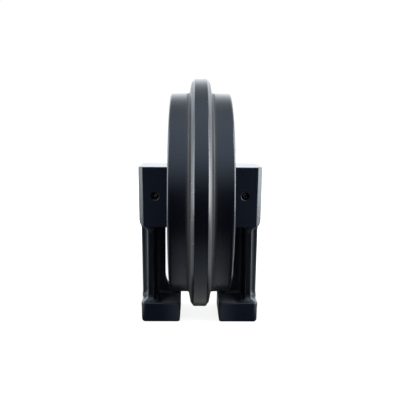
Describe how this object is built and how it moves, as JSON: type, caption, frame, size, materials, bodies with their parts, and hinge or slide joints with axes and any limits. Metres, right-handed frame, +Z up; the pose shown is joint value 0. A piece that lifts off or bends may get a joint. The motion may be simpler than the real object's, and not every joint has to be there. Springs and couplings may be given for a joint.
{
  "type": "track idler assembly",
  "caption": "Crawler track guide wheel with a central flange, turning on a pinned axle between cast bracket arms that stand on bolted feet.",
  "frame": {"origin": "on the underside of the feet, midway between the brackets and below the axle", "axes": "X along the axle towards the right bracket, Y front to back, Z up; the axle is 222 mm above the origin"},
  "size_m": [0.2116, 0.4, 0.422],
  "materials": {
    "wheel_paint": "semi-gloss blue-black paint on machined and cast steel",
    "bracket_paint": "semi-gloss blue-black paint on cast steel",
    "shaft_steel": "ground steel, lightly oiled",
    "bronze": "bronze lining",
    "seal_iron": "lapped alloy iron",
    "seal_rubber": "matte black rubber",
    "pin_steel": "blackened spring steel",
    "plug_steel": "zinc-plated steel"
  },
  "bodies": {
    "carrier": {"axle_shaft": "shaft_steel", "bracket_left": "bracket_paint", "bracket_right": "bracket_paint", "seal_ring_bracket_left": "seal_iron", "seal_ring_bracket_right": "seal_iron", "toric_bracket_left": "seal_rubber", "toric_bracket_right": "seal_rubber", "shaft_o_ring_left": "seal_rubber", "shaft_o_ring_right": "seal_rubber", "lock_pin_left": "pin_steel", "lock_pin_right": "pin_steel"},
    "wheel": {"idler_wheel": "wheel_paint", "oil_plug": "plug_steel", "bush_left": "bronze", "bush_right": "bronze", "thrust_washer_left": "bronze", "thrust_washer_right": "bronze", "seal_ring_wheel_left": "seal_iron", "seal_ring_wheel_right": "seal_iron", "toric_wheel_left": "seal_rubber", "toric_wheel_right": "seal_rubber"}
  },
  "joints": [
    {"name": "wheel_spin", "type": "hinge", "parent": "carrier", "child": "wheel", "pos_m": [0, 0, 0.222], "axis": [1, 0, 0], "continuous": true}
  ]
}
